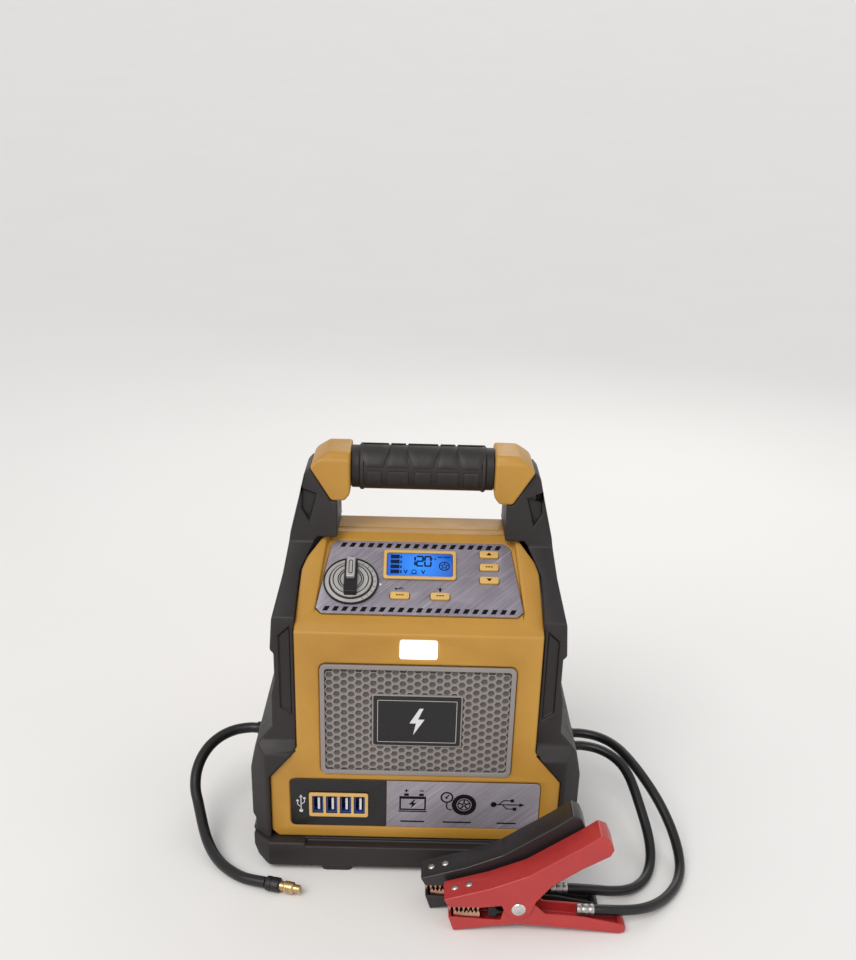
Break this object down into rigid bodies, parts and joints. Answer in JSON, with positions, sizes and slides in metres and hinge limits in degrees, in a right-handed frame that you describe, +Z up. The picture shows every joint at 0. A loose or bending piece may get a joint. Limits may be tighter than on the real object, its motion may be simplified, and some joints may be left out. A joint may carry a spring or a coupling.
{
  "type": "jump starter pack",
  "caption": "Portable jump starter and air compressor pack with bar handle, sloping control panel, USB sockets, lamp, air hose and two jumper cables with spring clamps.",
  "frame": {"origin": "on the floor under the middle of the pack, without its hose, cables and clamps", "axes": "+X to the pack's right as seen from the front, the front with the controls faces -Y, +Z up"},
  "size_m": [0.4493, 0.2943, 0.3545],
  "materials": {
    "yellow_plastic": "satin moulded",
    "black_plastic": "fine moulded texture",
    "grip_rubber": "soft matt",
    "cable_rubber": "smooth extruded",
    "brushed_panel": "diagonal brushed",
    "cream_plastic": "satin moulded",
    "screen": "backlit display",
    "dial_black": "satin",
    "knob_silver": "silver painted",
    "lamp_lens": "frosted",
    "grille_metal": "painted honeycomb",
    "badge_black": "gloss printed",
    "port_blue": "satin",
    "circuit_board": "solder mask",
    "inner_metal": "plain",
    "clamp_red": "dipped grip coating",
    "clamp_black": "dipped grip coating",
    "rivet_steel": "domed",
    "jaw_copper": "copper plated",
    "brass_tip": "turned"
  },
  "bodies": {
    "pack": {"front_housing": "yellow_plastic", "rear_housing": "yellow_plastic", "handle_left_end": "yellow_plastic", "handle_right_end": "yellow_plastic", "right_guard": "black_plastic", "left_guard": "black_plastic", "base_bumper": "black_plastic", "charge_inlet": "black_plastic", "battery_switch": "black_plastic", "battery": "black_plastic", "handle_grip": "grip_rubber", "front_left_foot": "grip_rubber", "front_right_foot": "grip_rubber", "rear_left_foot": "grip_rubber", "rear_right_foot": "grip_rubber", "hose_gland": "grip_rubber", "positive_gland": "grip_rubber", "negative_gland": "grip_rubber", "nozzle_collar": "grip_rubber", "air_hose": "cable_rubber", "positive_cable": "cable_rubber", "negative_cable": "cable_rubber", "control_panel": "brushed_panel", "icon_label": "brushed_panel", "lcd_bezel": "cream_plastic", "usb_frame": "cream_plastic", "lcd_window": "screen", "switch_dial": "dial_black", "led_lens": "lamp_lens", "grille_plate": "grille_metal", "badge_plate": "badge_black", "usb_panel": "badge_black", "usb_module": "port_blue", "control_board": "circuit_board", "led_board": "circuit_board", "handle_core": "inner_metal", "chassis_plate": "inner_metal", "compressor_motor": "inner_metal", "compressor_cylinder": "inner_metal", "positive_spring": "inner_metal", "negative_spring": "inner_metal", "positive_lower_arm": "clamp_red", "negative_lower_arm": "clamp_black", "positive_pin": "rivet_steel", "negative_pin": "rivet_steel", "positive_lower_jaw": "jaw_copper", "negative_lower_jaw": "jaw_copper", "nozzle_tip": "brass_tip"},
    "switch_knob": {"switch_knob": "knob_silver"},
    "up_button": {"up_button": "cream_plastic"},
    "air_button": {"air_button": "cream_plastic"},
    "down_button": {"down_button": "cream_plastic"},
    "usb_button": {"usb_button": "cream_plastic"},
    "light_button": {"light_button": "cream_plastic"},
    "positive_jaw_arm": {"positive_upper_arm": "clamp_red", "positive_upper_jaw": "jaw_copper"},
    "negative_jaw_arm": {"negative_upper_arm": "clamp_black", "negative_upper_jaw": "jaw_copper"},
    "charge_cap": {"charge_cap": "grip_rubber"}
  },
  "joints": [
    {"name": "knob_turn", "type": "hinge", "parent": "pack", "child": "switch_knob", "pos_m": [-0.057, -0.05307, 0.25323], "axis": [0, -0.5446, 0.8387], "range_deg": [-90, 0]},
    {"name": "up_press", "type": "slide", "parent": "pack", "child": "up_button", "axis": [0, 0.5446, -0.8387], "range_m": [0, 0.0015], "stiffness_N_per_m": 400},
    {"name": "air_press", "type": "slide", "parent": "pack", "child": "air_button", "axis": [0, 0.5446, -0.8387], "range_m": [0, 0.0015], "stiffness_N_per_m": 400},
    {"name": "down_press", "type": "slide", "parent": "pack", "child": "down_button", "axis": [0, 0.5446, -0.8387], "range_m": [0, 0.0015], "stiffness_N_per_m": 400},
    {"name": "usb_press", "type": "slide", "parent": "pack", "child": "usb_button", "axis": [0, 0.5446, -0.8387], "range_m": [0, 0.0015], "stiffness_N_per_m": 400},
    {"name": "light_press", "type": "slide", "parent": "pack", "child": "light_button", "axis": [0, 0.5446, -0.8387], "range_m": [0, 0.0015], "stiffness_N_per_m": 400},
    {"name": "positive_clamp_open", "type": "hinge", "parent": "pack", "child": "positive_jaw_arm", "pos_m": [0.086, -0.174, 0.025], "axis": [0, 1, 0], "range_deg": [0, 22], "stiffness_Nm_per_rad": 1.2, "springref_deg": -28.65},
    {"name": "negative_clamp_open", "type": "hinge", "parent": "pack", "child": "negative_jaw_arm", "pos_m": [0.067, -0.146, 0.025], "axis": [0, 1, 0], "range_deg": [0, 22], "stiffness_Nm_per_rad": 1.2, "springref_deg": -28.65},
    {"name": "charge_cap_open", "type": "hinge", "parent": "pack", "child": "charge_cap", "pos_m": [0.052, 0.0968, 0.073], "axis": [1, 0, 0], "range_deg": [0, 110]}
  ]
}
